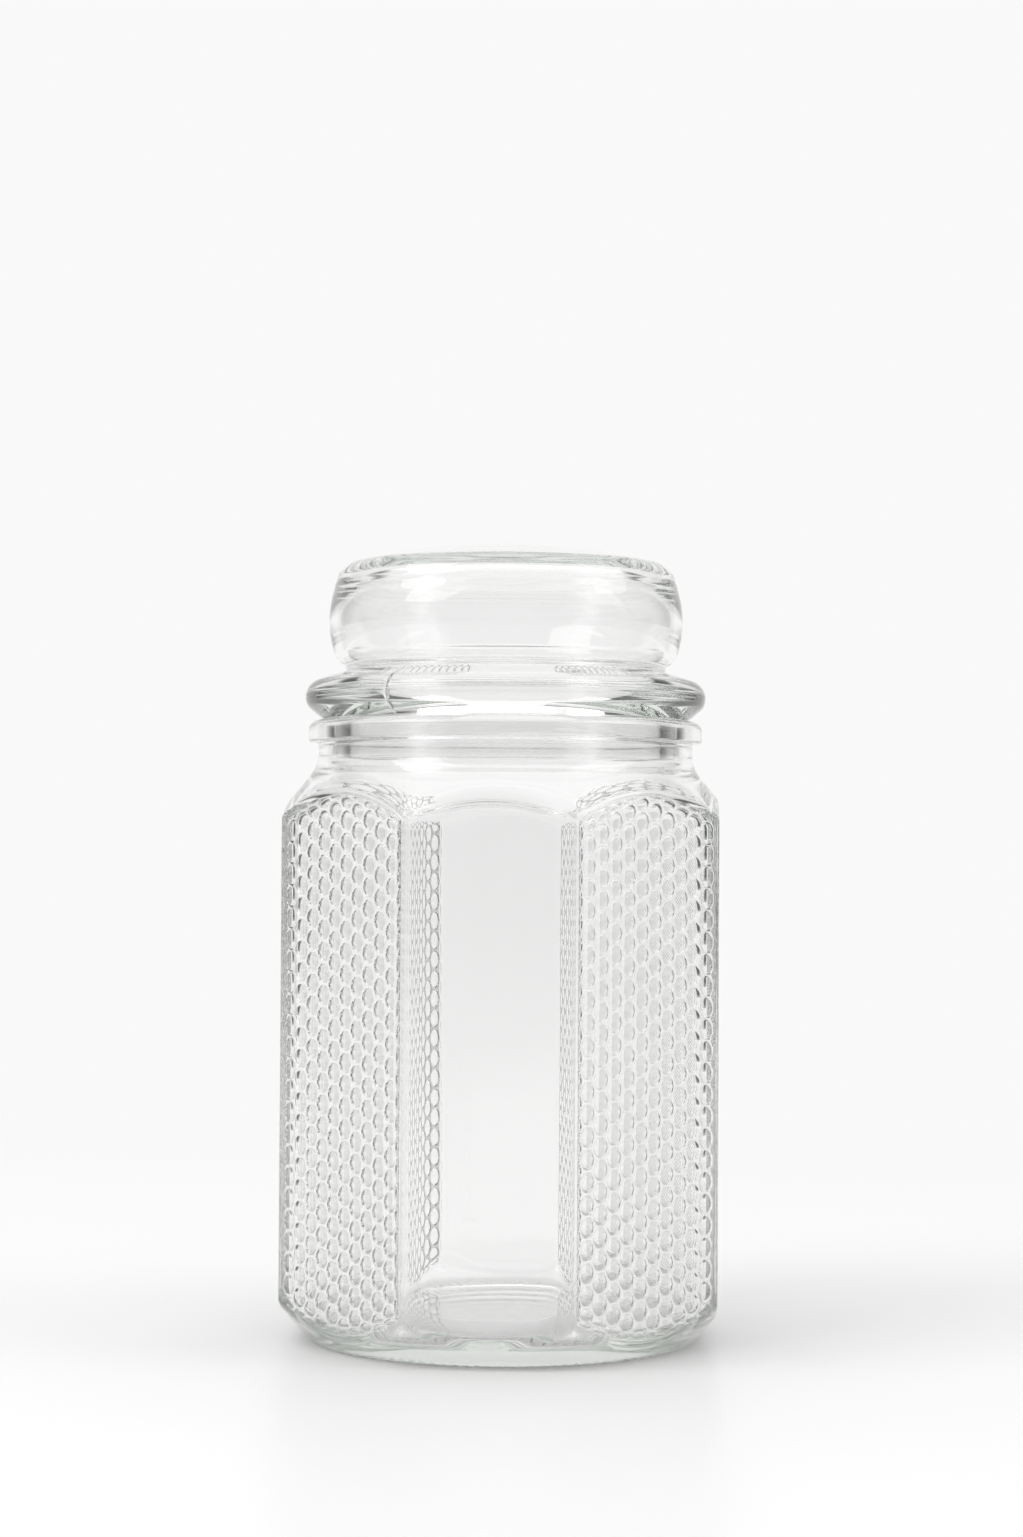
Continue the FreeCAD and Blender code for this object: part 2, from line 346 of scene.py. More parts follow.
# %% [markdown]
# The knurled ring under the foot needs finer columns than the rest: six for each knurl. The grid is tripled
# there, and a strip of six-sided faces on each side of the ring joins the fine rows to the plain ones.

# %% How faces are put between rows
KNURLS = 116
FINE = 3  # columns in the knurled ring for each plain column
RING_INNER = 38.2
RING_OUTER = 45.2
vertices = []
faces = []


def put_row(row):
    """Adds a row's points to the shell and gives the number of each."""
    first = len(vertices)
    vertices.extend(tuple(point) for point in row)
    return list(range(first, first + len(row)))


def put_band(lower, upper, skip=()):
    """Faces between two rows. Where one row is finer than the other, each face takes up the extra points."""
    lower_step = len(lower) // COLUMNS
    upper_step = len(upper) // COLUMNS
    if lower_step == upper_step:
        for column in range(len(lower)):
            if column in skip:
                continue
            nearby = (column + 1) % len(lower)
            faces.append((lower[column], lower[nearby], upper[nearby], upper[column]))
        return
    for column in range(COLUMNS):
        below = [lower[(column * lower_step + step) % len(lower)] for step in range(lower_step + 1)]
        above = [upper[(column * upper_step + step) % len(upper)] for step in range(upper_step + 1)]
        faces.append(tuple(below + above[::-1]))


def finer(row):
    """The same round row with three points for each one."""
    angle = even_angle[0] + np.arange(COLUMNS * FINE) * 2 * math.pi / (COLUMNS * FINE)
    radius = math.hypot(row[0][0], row[0][1])
    return np.column_stack([radius * np.cos(angle), radius * np.sin(angle), np.full(COLUMNS * FINE, row[0][2])])


def close_middle(row, height, downwards):
    """A fan of faces from a row to a point on the axis."""
    middle = len(vertices)
    vertices.append((0.0, 0.0, height))
    for column in range(COLUMNS):
        here, nearby = row[column], row[(column + 1) % COLUMNS]
        faces.append((middle, nearby, here) if downwards else (middle, here, nearby))


# %% The shell's faces
numbers = []
for index, row in enumerate(rows):
    radius = math.hypot(row[0][0], row[0][1])
    if index < base_rows and RING_INNER < radius < RING_OUTER:
        row = finer(row)
    numbers.append(put_row(row))
open_columns = {first + column for first, columns in honeycomb_columns for column in range(columns)}
for index in range(len(rows) - 1):
    on_body = body_first <= index < body_last
    put_band(numbers[index], numbers[index + 1], open_columns if on_body else ())
close_middle(numbers[0], BASE_HOLLOW, downwards=True)
close_middle(numbers[-1], FLOOR_MIDDLE, downwards=False)
print(f"shell: {len(vertices)} points, {len(faces)} faces")

# %% [markdown]
# Everything from here on that repeats is made by Geometry Nodes. A tree is a list of nodes and links, and one
# small function keeps it readable: it adds a node, sets its properties, and fills or links each of its inputs.
# A number inside a tree is wrapped, so that a formula can be written as one, and its nodes add themselves.

# %% Helpers for node trees
def add_node(tree, kind, inputs=None, **settings):
    """Adds a node. In inputs, a socket or a list of sockets is linked, and a plain value is set.

    Where one of the three parts of a position is a number of the tree, they are combined to a vector first.
    """
    node = tree.nodes.new(kind)
    for name, value in settings.items():
        setattr(node, name, value)
    for key, value in (inputs or {}).items():
        if isinstance(value, tuple) and any(isinstance(part, Number) for part in value):
            value = add_node(tree, "ShaderNodeCombineXYZ", dict(enumerate(value))).outputs[0]
        value = getattr(value, "socket", value)
        links = value if isinstance(value, list) else [value]
        if isinstance(links[0], bpy.types.NodeSocket):
            for link in links:
                tree.links.new(link, node.inputs[key])
        else:
            node.inputs[key].default_value = value
    return node


class Number:
    """A number inside a tree. A sum or another step on it adds the node that works it out."""

    def __init__(self, tree, socket):
        self.tree, self.socket = tree, socket

    def by(self, operation, *others):
        node = add_node(self.tree, "ShaderNodeMath", dict(enumerate((self, *others))), operation=operation)
        return Number(self.tree, node.outputs[0])

    def __rsub__(self, other):
        return self.by("MULTIPLY_ADD", -1.0, other)


for sign, operation in {"add": "ADD", "sub": "SUBTRACT", "mul": "MULTIPLY", "truediv": "DIVIDE", "pow": "POWER",
                        "lt": "LESS_THAN", "gt": "GREATER_THAN"}.items():
    setattr(Number, f"__{sign}__", lambda self, other, operation=operation: self.by(operation, other))


def new_material(name):
    """A material and its tree, which is still empty."""
    material = bpy.data.materials.new(name)
    material.use_nodes = True
    material.node_tree.nodes.clear()
    return material, material.node_tree


def placed(name, data):
    """An object in the scene, at the origin."""
    item = bpy.data.objects.new(name, data)
    bpy.context.scene.collection.objects.link(item)
    return item


# %% Helpers for geometry trees
def new_tree(name, sizes):
    """An empty geometry tree with a named input for each size. Gives the tree, its geometry and its sizes."""
    tree = bpy.data.node_groups.new(name, "GeometryNodeTree")
    tree.interface.new_socket("Geometry", in_out="INPUT", socket_type="NodeSocketGeometry")
    for label, value in sizes.items():
        kind = "NodeSocketInt" if isinstance(value, int) else "NodeSocketFloat"
        tree.interface.new_socket(label, in_out="INPUT", socket_type=kind)
    tree.interface.new_socket("Geometry", in_out="OUTPUT", socket_type="NodeSocketGeometry")
    given = add_node(tree, "NodeGroupInput").outputs
    return tree, given["Geometry"], {label: Number(tree, given[label]) for label in sizes}


def finish_tree(tree, geometry, material):
    """Ends a tree: real geometry and no instances, with its material."""
    real = add_node(tree, "GeometryNodeRealizeInstances", {"Geometry": geometry}).outputs[0]
    real = add_node(tree, "GeometryNodeSetMaterial", {"Geometry": real, "Material": material}).outputs[0]
    add_node(tree, "NodeGroupOutput", {"Geometry": real})


def made_by_nodes(name, start, tree, sizes):
    """Runs a tree on a mesh and gives the result as a new plain mesh."""
    holder = placed(name, start)
    modifier = holder.modifiers.new(name, "NODES")
    modifier.node_group = tree
    for item in tree.interface.items_tree:
        if item.in_out == "INPUT" and item.name in sizes:
            modifier[item.identifier] = sizes[item.name]
    bpy.context.view_layer.update()
    made = bpy.data.meshes.new_from_object(holder.evaluated_get(bpy.context.evaluated_depsgraph_get()))
    bpy.data.objects.remove(holder)
    made.name = name
    print(f"{name}: {len(made.vertices)} points, {len(made.polygons)} faces")
    return made


# %% The place of a point, inside a tree
def position_parts(tree):
    """The x, y and z of each point."""
    place = add_node(tree, "GeometryNodeInputPosition").outputs[0]
    parts = add_node(tree, "ShaderNodeSeparateXYZ", {0: place}).outputs
    return [Number(tree, part) for part in parts]


# %% [markdown]
# Soda-lime glass is the common glass of jars and bottles. Its index is 1.52, and a trace of iron tints it
# faintly green where it is thick. The jar was moulded, so its skin has a slow, shallow ripple. The lid was blown
# free of the mould at its top and is smoother. The tint is an absorption inside the glass, and the ripple is a
# bump that is a few micrometres deep. Where a number called "crest" is stored on the mesh, the glass is hazy.

# %% Colours
def linear(hex_colour):
    """Linear colour of an sRGB hex value."""
    parts = [int(hex_colour[index:index + 2], 16) / 255 for index in (1, 3, 5)]
    return [part / 12.92 if part <= 0.04045 else ((part + 0.055) / 1.055) ** 2.4 for part in parts] + [1.0]


# %% Glass
GLASS_TINT = "#D2D8D2"
GLASS_IOR = 1.52
GLASS_DENSITY = 9.0  # how fast the tint grows with thickness
RIPPLE_DEPTH = 0.004
POLISH_SIZE = 9.0  # how far apart the less polished patches lie
LEAST_POLISH = 0.02  # roughness of such a patch
CREST_HAZE = 0.5  # share of light that a crest scatters


def soda_lime_glass(name, ripple_size):
    """Clear glass with a trace of green, a slow ripple, and crests that the mould left a little matt."""
    material, tree = new_material(name)
    place = add_node(tree, "ShaderNodeTexCoord").outputs["Object"]
    ripple = add_node(tree, "ShaderNodeTexNoise", {
        "Vector": place, "Scale": 1 / (ripple_size * MM), "Detail": 1.0, "Roughness": 0.4})
    bump = add_node(tree, "ShaderNodeBump", {
        "Strength": 1.0, "Distance": RIPPLE_DEPTH * MM, "Height": ripple.outputs["Fac"]})
    polish = add_node(tree, "ShaderNodeTexNoise", {
        "Vector": place, "Scale": 1 / (POLISH_SIZE * MM), "Detail": 2.0})
    roughness = add_node(tree, "ShaderNodeMapRange", {
        "Value": polish.outputs["Fac"], "From Min": 0.35, "From Max": 0.75, "To Max": LEAST_POLISH})
    crest = Number(tree, add_node(tree, "ShaderNodeAttribute", attribute_name="crest").outputs["Fac"])
    glass = add_node(tree, "ShaderNodeBsdfPrincipled", {
        "Base Color": (1.0, 1.0, 1.0, 1.0),
        "Roughness": roughness.outputs["Result"],
        "IOR": GLASS_IOR,
        "Transmission Weight": 1.0 - crest * CREST_HAZE,
        "Normal": bump.outputs["Normal"],
    })
    inside = add_node(tree, "ShaderNodeVolumeAbsorption", {
        "Color": linear(GLASS_TINT), "Density": GLASS_DENSITY})
    add_node(tree, "ShaderNodeOutputMaterial", {"Surface": glass.outputs[0], "Volume": inside.outputs[0]})
    return material


jar_glass = soda_lime_glass("moulded_soda_lime_glass", ripple_size=7.0)
lid_glass = soda_lime_glass("blown_soda_lime_glass", ripple_size=14.0)
print(f"glass of index {GLASS_IOR}, ripples {RIPPLE_DEPTH * 1000:.0f} micrometres deep")

# %% [markdown]
# Each honeycomb side is a field of raised, rounded ridges round flat cells, with a plain margin. Modelling one
# ridge at a time would leave seams that a lens as thick as this wall would show. So the tree makes one skin:
# 1. points in staggered columns, with a six-sided face on each, whose edges meet exactly;
# 2. the faces of the field, and one ring of plain faces round it, are kept;
# 3. the edges of the field are pulled to the arched outline and lifted, to be the ridges;
# 4. each face is set in twice, first to leave a crest and then a flank, and all of it is rounded;
# 5. the gap between this patch and the side's outline is filled, flat;
# 6. the side is laid on the jar, and mirrored to the other three.
# The cells are a little taller than a true hexagon, and the half cells along the arches close on a ridge.

# %% Honeycomb sizes
CELL_HEIGHT = 4.8
HIGHEST_CELL = 112.2  # height of the middle of the highest whole cell
CELLS_ABOVE_MIDDLE = 10.5
HONEYCOMB = {
    "Column spacing": 3.95,
    "Cell height": CELL_HEIGHT,
    "First column": 3.1 - honeycomb_half,
    "Columns": 9,
    "Middle height": HIGHEST_CELL - CELLS_ABOVE_MIDDLE * CELL_HEIGHT,
    "Rows": 13,
    "Ridge height": 0.55,
    "Ridge reach": 0.27,  # from the middle of a ridge to the foot of its flank, before the rounding
    "Top margin": 1.3,
    "Bottom margin": 1.6,
    "Side distance": HONEYCOMB_SIDE,
    "Flat half width": HONEYCOMB_FLAT,
}
SPARE = 2  # columns past each end of the field, which its plain ring is taken from
RIM_GAP = 0.15  # how far the patch keeps from the side's outline
RIDGE_GAP = 0.25  # and how much further its ridges keep
FIELD_SLACK = 0.5  # how far past the margin the middle of a cell may lie
CELL_JOIN = 0.05  # corners of neighbouring cells that are nearer than this become one
RIM_JOIN = 0.03  # the same, after the cells are pulled to the outline
SKIN_JOIN = 0.004  # the same, where the margin meets the cells
print(f"cells of {HONEYCOMB['Column spacing']} by {CELL_HEIGHT} mm, ridges {HONEYCOMB['Ridge height']} mm high")


# %% The arches of a honeycomb side, inside the tree
def side_radius(size, across):
    """Distance from the jar's axis to a point of the side, from its place across the side."""
    return (size["Side distance"] ** 2.0 + across ** 2.0).by("SQRT")


def top_of(size, across, margin):
    """Height of the side's upper arch, less a margin."""
    run = BLANK_RADIUS - SHOULDER_SOFTNESS - side_radius(size, across)
    return run * (1 / SHOULDER_SLOPE) + BODY_HEIGHT - margin


def bottom_of(size, across, margin):
    """Height of the side's lower arch, plus a margin."""
    run = side_radius(size, across) - (FOOT_RADIUS - HEEL_SOFTNESS)
    return run * (1 / HEEL_SLOPE) + margin


# %% Step 1: staggered points, and a cell on each
def staggered_points(tree, size):
    """A grid of points in which every other column is half a cell higher."""
    spacing, cell_height = size["Column spacing"], size["Cell height"]
    columns = size["Columns"] + 2.0 * SPARE
    lines = size["Rows"] * 2.0
    width = (columns - 1.0) * spacing
    grid = add_node(tree, "GeometryNodeMeshGrid", {
        "Size X": width, "Size Y": (lines - 1.0) * cell_height,
        "Vertices X": columns, "Vertices Y": lines}).outputs["Mesh"]
    middle = width * 0.5 + (spacing * (-1.0 * SPARE) + size["First column"])
    column = ((width * 0.5 + position_parts(tree)[0]) / spacing).by("ROUND")
    stagger = column.by("MODULO", 2.0) * (cell_height * 0.5)
    return add_node(tree, "GeometryNodeSetPosition", {
        "Geometry": grid, "Offset": (middle, size["Middle height"] + stagger, 0.0)}).outputs[0]


def cells_on(tree, size, points):
    """A six-sided face on each point. Its corners are the middles of the triangles between the points."""
    cell = add_node(tree, "GeometryNodeMeshCircle", {"Vertices": 6, "Radius": 1.0}, fill_type="NGON").outputs[0]
    x, y, z = position_parts(tree)
    wide, high = size["Column spacing"] * (2 / 3), size["Cell height"] * (1 / math.sqrt(3))
    cell = add_node(tree, "GeometryNodeSetPosition", {
        "Geometry": cell, "Position": (x * wide, y * high, 0.0)}).outputs[0]
    cells = add_node(tree, "GeometryNodeInstanceOnPoints", {"Points": points, "Instance": cell}).outputs[0]
    cells = add_node(tree, "GeometryNodeRealizeInstances", {"Geometry": cells}).outputs[0]
    return add_node(tree, "GeometryNodeMergeByDistance", {"Geometry": cells, "Distance": CELL_JOIN}).outputs[0]


# %% Step 2: the field, and the ring of plain faces round it
def field_of(tree, size, cells):
    """Keeps the cells that lie on the side, and marks the points that a ridge will run through."""
    x, y, z = position_parts(tree)
    spacing = size["Column spacing"]
    first = size["First column"] - spacing * 0.5
    last = spacing * (size["Columns"] - 0.5) + size["First column"]
    highest = top_of(size, x, size["Top margin"]) + FIELD_SLACK
    lowest = bottom_of(size, x, size["Bottom margin"]) - FIELD_SLACK
    in_field = (x > first) * (x < last) * ((y < highest) * (y > lowest))
    on = {}
    for name in ("field", "ridge"):
        kept = add_node(tree, "GeometryNodeInputNamedAttribute", {"Name": name}, data_type="FLOAT")
        on[name] = Number(tree, kept.outputs[0])
    for name, value, domain in (("field", in_field, "FACE"), ("ridge", on["field"] > 0.01, "POINT")):
        cells = add_node(tree, "GeometryNodeStoreNamedAttribute", {
            "Geometry": cells, "Name": name, "Value": value}, data_type="FLOAT", domain=domain).outputs[0]
    return add_node(tree, "GeometryNodeDeleteGeometry", {
        "Geometry": cells, "Selection": on["ridge"] < 0.01}, domain="FACE").outputs[0]


# %% Step 3: ridges, pulled to the outline and lifted
def lifted(tree, size, cells):
    """Ridges stop at their margin. The plain ring reaches out to a hair inside the side's outline."""
    x, y, z = position_parts(tree)
    ridge = add_node(tree, "GeometryNodeInputNamedAttribute", {"Name": "ridge"}, data_type="FLOAT").outputs[0]
    on_ridge = Number(tree, ridge)
    limit = size["Flat half width"] - (on_ridge * RIDGE_GAP + RIM_GAP)
    across = x.by("MINIMUM", limit).by("MAXIMUM", limit * -1.0)
    top_gap, bottom_gap = (on_ridge * (size[margin] - RIM_GAP) + RIM_GAP
                           for margin in ("Top margin", "Bottom margin"))
    up = y.by("MINIMUM", top_of(size, across, top_gap)).by("MAXIMUM", bottom_of(size, across, bottom_gap))
    cells = add_node(tree, "GeometryNodeSetPosition", {
        "Geometry": cells, "Position": (across, up, on_ridge * size["Ridge height"])}).outputs[0]
    return add_node(tree, "GeometryNodeMergeByDistance", {"Geometry": cells, "Distance": RIM_JOIN}).outputs[0]


# %% [markdown]
# The ridges stood in grooves of the iron mould, and they are what rubs on a shelf or in a hand. So their crests
# are less clear than the cells. Near the top of a ridge the tree stores that as "crest", from 0 to 1.

# %% Step 4: crest, flank and rounding
CREST_INSET = (0.4, 0.92)  # share of the ridge's reach, and share of its height
FLOOR_INSET = (0.95, 0.0)
INSET_FACTOR = 2.1  # times a reach, over the root of a face's area: how much that face is scaled down
SMALLEST_SCALE = 0.25
CREST_START = 0.82  # share of the ridge's height where the haze begins
CREST_FULL = 0.97


def set_in(tree, size, cells):
    """Sets each face in twice, rounds the whole, and stores how near each point is to a crest."""
    inner = True
    for reach, share_of_height in (CREST_INSET, FLOOR_INSET):
        area = Number(tree, add_node(tree, "GeometryNodeInputMeshFaceArea").outputs[0])
        share = size["Ridge reach"] * (INSET_FACTOR * reach) / area.by("SQRT")
        shrink = (1.0 - share).by("MAXIMUM", SMALLEST_SCALE)
        extruded = add_node(tree, "GeometryNodeExtrudeMesh", {
            "Mesh": cells, "Selection": inner, "Offset Scale": 0.0, "Individual": True}, mode="FACES")
        inner = extruded.outputs["Top"]
        cells = add_node(tree, "GeometryNodeScaleElements", {
            "Geometry": extruded.outputs["Mesh"], "Selection": inner, "Scale": shrink}, domain="FACE").outputs[0]
        x, y, z = position_parts(tree)
        cells = add_node(tree, "GeometryNodeSetPosition", {
            "Geometry": cells, "Selection": inner,
            "Position": (x, y, size["Ridge height"] * share_of_height)}).outputs[0]
    cells = add_node(tree, "GeometryNodeSubdivisionSurface", {"Mesh": cells, "Level": 1}).outputs[0]
    share_of_height = position_parts(tree)[2] / size["Ridge height"]
    crest = add_node(tree, "ShaderNodeMapRange", {
        "Value": share_of_height, "From Min": CREST_START, "From Max": CREST_FULL}).outputs[0]
    return add_node(tree, "GeometryNodeStoreNamedAttribute", {
        "Geometry": cells, "Name": "crest", "Value": crest}, data_type="FLOAT", domain="POINT").outputs[0]


# %% Steps 5 and 6: the flat margin, and the side laid on the jar
def with_margin(tree, cells, outline):
    """Fills the gap between the patch's rim and the side's outline."""
    neighbours = Number(tree, add_node(tree, "GeometryNodeInputMeshEdgeNeighbors").outputs[0])
    rim = neighbours.by("COMPARE", 1.0, 0.1)
    patch_rim = add_node(tree, "GeometryNodeMeshToCurve", {"Mesh": cells, "Selection": rim}).outputs[0]
    side_rim = add_node(tree, "GeometryNodeMeshToCurve", {"Mesh": outline}).outputs[0]
    rims = add_node(tree, "GeometryNodeJoinGeometry", {"Geometry": [patch_rim, side_rim]}).outputs[0]
    margin = add_node(tree, "GeometryNodeFillCurve", {"Curve": rims}).outputs[0]
    skin = add_node(tree, "GeometryNodeJoinGeometry", {"Geometry": [cells, margin]}).outputs[0]
    return add_node(tree, "GeometryNodeMergeByDistance", {"Geometry": skin, "Distance": SKIN_JOIN}).outputs[0]


def on_the_jar(tree, size, skin):
    """Stands the skin up on its diagonal, and mirrors it across both axes."""
    x, y, z = position_parts(tree)
    skin = add_node(tree, "GeometryNodeSetPosition", {
        "Geometry": skin, "Position": (size["Side distance"] + z, x, y)}).outputs[0]
    turned = add_node(tree, "GeometryNodeTransform", {
        "Geometry": skin, "Rotation": (0.0, 0.0, math.radians(-45))}).outputs[0]
    for mirror in ((-1.0, 1.0, 1.0), (1.0, -1.0, 1.0)):
        copy = add_node(tree, "GeometryNodeTransform", {"Geometry": turned, "Scale": mirror}).outputs[0]
        copy = add_node(tree, "GeometryNodeFlipFaces", {"Mesh": copy}).outputs[0]
        turned = add_node(tree, "GeometryNodeJoinGeometry", {"Geometry": [turned, copy]}).outputs[0]
    return turned


# %% The whole honeycomb tree
def honeycomb_tree():
    tree, outline, size = new_tree("honeycomb_sides", HONEYCOMB)
    cells = cells_on(tree, size, staggered_points(tree, size))
    cells = field_of(tree, size, cells)
    cells = set_in(tree, size, lifted(tree, size, cells))
    finish_tree(tree, on_the_jar(tree, size, with_margin(tree, cells, outline)), jar_glass)
    return tree


# %% The outline of one honeycomb side, which the tree starts from
def side_outline():
    """Closed loop of edges in the side's own plane, on the same points as the shell's open border."""
    first, columns = honeycomb_columns[-1]
    across = np.linspace(-HONEYCOMB_FLAT, HONEYCOMB_FLAT, columns + 1)
    radii = section_radius[[(first + column) % COLUMNS for column in range(columns + 1)]]
    low = arch_bottom(radii, HEEL_SOFTNESS)
    high = arch_top(radii, SHOULDER_SOFTNESS)
    loop = [(across[column], low[column], 0.0) for column in range(columns + 1)]
    rise = high[-1] - low[-1]
    loop += [(across[-1], low[-1] + rise * row / BODY_ROWS, 0.0) for row in range(1, BODY_ROWS)]
    loop += [(across[column], high[column], 0.0) for column in range(columns, -1, -1)]
    loop += [(across[0], low[0] + rise * row / BODY_ROWS, 0.0) for row in range(BODY_ROWS - 1, 0, -1)]
    mesh = bpy.data.meshes.new("side_outline")
    mesh.from_pydata(loop, [(index, (index + 1) % len(loop)) for index in range(len(loop))], [])
    return mesh


honeycomb_mesh = made_by_nodes("honeycomb_sides", side_outline(), honeycomb_tree(), HONEYCOMB)

# %% [markdown]
# The shell and its four honeycomb sides become one closed skin: points that lie on each other are merged, and
# every edge must then have exactly two faces.

# %% Closing a mesh
def closed_mesh(name, meshes, merge_distance):
    """Joins meshes in millimetres, merges their doubles and checks that the skin is closed."""
    shape = bmesh.new()
    for mesh in meshes:
        shape.from_mesh(mesh)
    bmesh.ops.remove_doubles(shape, verts=shape.verts, dist=merge_distance)
    bmesh.ops.dissolve_degenerate(shape, edges=shape.edges, dist=merge_distance / 10)
    loose = [vertex for vertex in shape.verts if not vertex.link_faces]
    bmesh.ops.delete(shape, geom=loose, context="VERTS")
    bmesh.ops.recalc_face_normals(shape, faces=shape.faces)
    if shape.calc_volume(signed=True) < 0:
        bmesh.ops.reverse_faces(shape, faces=shape.faces)
    open_edges = sum(1 for edge in shape.edges if len(edge.link_faces) != 2)
    triangles = sum(len(face.verts) - 2 for face in shape.faces)
    volume = shape.calc_volume(signed=True) / 1000
    print(f"{name}: {triangles} triangles, {open_edges} open edges, {volume:.1f} cubic centimetres of glass")
    joined = bpy.data.meshes.new(name)
    shape.to_mesh(joined)
    shape.free()
    return joined


# %% One closed jar
shell_mesh = bpy.data.meshes.new("shell")
shell_mesh.from_pydata(vertices, [], faces)
jar_skin = closed_mesh("jar_skin", [shell_mesh, honeycomb_mesh], 0.01)

# %% [markdown]
# The ring that the jar stands on is knurled: short ribs across it keep hot glass from sticking to the conveyor
# and give the foot a grip. The tree moves points of the ring up between the ribs, by a cosine of their angle.

# %% Knurled foot
KNURLING = {"Ribs": KNURLS, "Depth": 0.8, "Inner radius": 41.2, "Outer radius": 44.6, "Band": 1.1}


def knurling_tree():
    tree, jar, size = new_tree("knurled_foot", KNURLING)
    x, y, z = position_parts(tree)
    radius = (x ** 2.0 + y ** 2.0).by("SQRT")
    groove = (y.by("ARCTAN2", x) * size["Ribs"]).by("COSINE") * 0.5 + 0.5
    from_edge = (radius - size["Inner radius"]).by("MINIMUM", size["Outer radius"] - radius)
    share = from_edge.by("MAXIMUM", 0.0).by("MINIMUM", 1.0)
    lift = groove * size["Depth"] * (share * (z < size["Band"]))
    jar = add_node(tree, "GeometryNodeSetPosition", {"Geometry": jar, "Offset": (0.0, 0.0, lift)}).outputs[0]
    finish_tree(tree, jar, jar_glass)
    return tree


jar_mesh = made_by_nodes("jar_body", jar_skin, knurling_tree(), KNURLING)

# %% [markdown]
# The lid is turned: one outline carried once round the axis. Its mould had two halves, so a thin line runs round
# its ring and its bulb where they met, and a seam crosses the ring. The lines are steps in the outline. The
# seam is a low fin, raised on the columns nearest to it, which stand closer together there.
# The outline goes down the inside from the middle of the top, round the open stopper, and up the outside.

# %% Sizes of the lid
SEAT = 140.2  # height of the flange's underside
STOPPER_RADIUS = 38.9
STOPPER_WALL = 3.3
STOPPER_DEPTH = 10.6
RING_INNER_RADIUS = 41.75  # where the ring's underside starts to rise
RING_RADIUS = 45.75
WAIST_RADIUS = 34.7
WAIST_HEIGHT = 11.6
BULB_RADIUS = 41.4
BULB_HEIGHT = 22.8
BULB_WALL = 3.0
CROWN_RADIUS = 22.0  # how far the nearly flat top reaches
LID_HEIGHT = 39.4
CROWN_WALL = 3.2
print(f"lid {2 * BULB_RADIUS:.1f} mm across its bulb, {LID_HEIGHT} mm high above its seat")

# %% The lid's outline
inside = [
    (0.0, SEAT + LID_HEIGHT - CROWN_WALL, 0),
    (CROWN_RADIUS, SEAT + LID_HEIGHT - CROWN_WALL, 68.0),
    (34.9, SEAT + 32.0, 5.0),
    (BULB_RADIUS - BULB_WALL, SEAT + BULB_HEIGHT, 12.0),
    (35.6, SEAT + 15.0, 3.0),
    (WAIST_RADIUS - BULB_WALL, SEAT + WAIST_HEIGHT, 1.6),
    (STOPPER_RADIUS - STOPPER_WALL, SEAT, 10.0),
    (STOPPER_RADIUS - STOPPER_WALL, SEAT - STOPPER_DEPTH, 1.2),
]
outside = [
    (STOPPER_RADIUS, SEAT - STOPPER_DEPTH, 1.2),
    (STOPPER_RADIUS, SEAT, 0.6),
    (RING_INNER_RADIUS, SEAT, 0.6),
    (RING_RADIUS, SEAT + 3.3, 3.2),
    (RING_RADIUS, SEAT + 8.1, 4.0),
    (WAIST_RADIUS, SEAT + WAIST_HEIGHT, 1.05),
    (38.9, SEAT + 13.4, 3.5),
    (BULB_RADIUS, SEAT + BULB_HEIGHT, 24.0),
    (37.9, SEAT + 35.2, 5.0),
    (CROWN_RADIUS, SEAT + LID_HEIGHT, 88.0),
    (0.0, SEAT + LID_HEIGHT, 0),
]
lid_points = divided(rounded_outline(inside + outside, chord_angle=6.0), longest=3.0)

# %% The mould's lines round the ring and the bulb
MOULD_LINE_HEIGHT = 0.12
MOULD_LINE_HALF_WIDTH = 0.35
RING_LINE = 5.7
BULB_LINE = 31.4
for height in (SEAT + RING_LINE, SEAT + BULB_LINE):
    outer_half = range(len(lid_points) // 2, len(lid_points))
    nearest = min(outer_half, key=lambda index: abs(lid_points[index][1] - height))
    here = lid_points[nearest]
    along = lid_points[nearest + 1] - lid_points[nearest - 1]
    along /= np.hypot(*along)
    line = [here - along * MOULD_LINE_HALF_WIDTH,
            here + np.array([MOULD_LINE_HEIGHT, 0.0]),
            here + along * MOULD_LINE_HALF_WIDTH]
    lid_points = np.vstack([lid_points[:nearest], line, lid_points[nearest + 1:]])
print(f"lid outline: {len(lid_points)} points")

# %% The lid, turned by a tree
CAMERA_ANGLE = math.radians(-90 + 3.75)  # the direction from the axis to the camera
TURNING = {
    "Segments": 352,
    "Seam angle": CAMERA_ANGLE - math.radians(34.5),
    "Seam gathering": 0.10,
    "Seam half width": 0.011,
    "Seam height": 0.36,
    "Seam bottom": SEAT + 0.4,
    "Seam top": SEAT + 11.0,
    "Seam inner radius": STOPPER_RADIUS + 0.6,
}
GATHERING = 0.82  # how strongly the columns beside the seam are drawn to it
PATH_RADIUS = 1.0  # the round path's own radius, which the sweep adds to each point of the outline
POLE_JOIN = 0.003  # points on the axis that are nearer than this become one


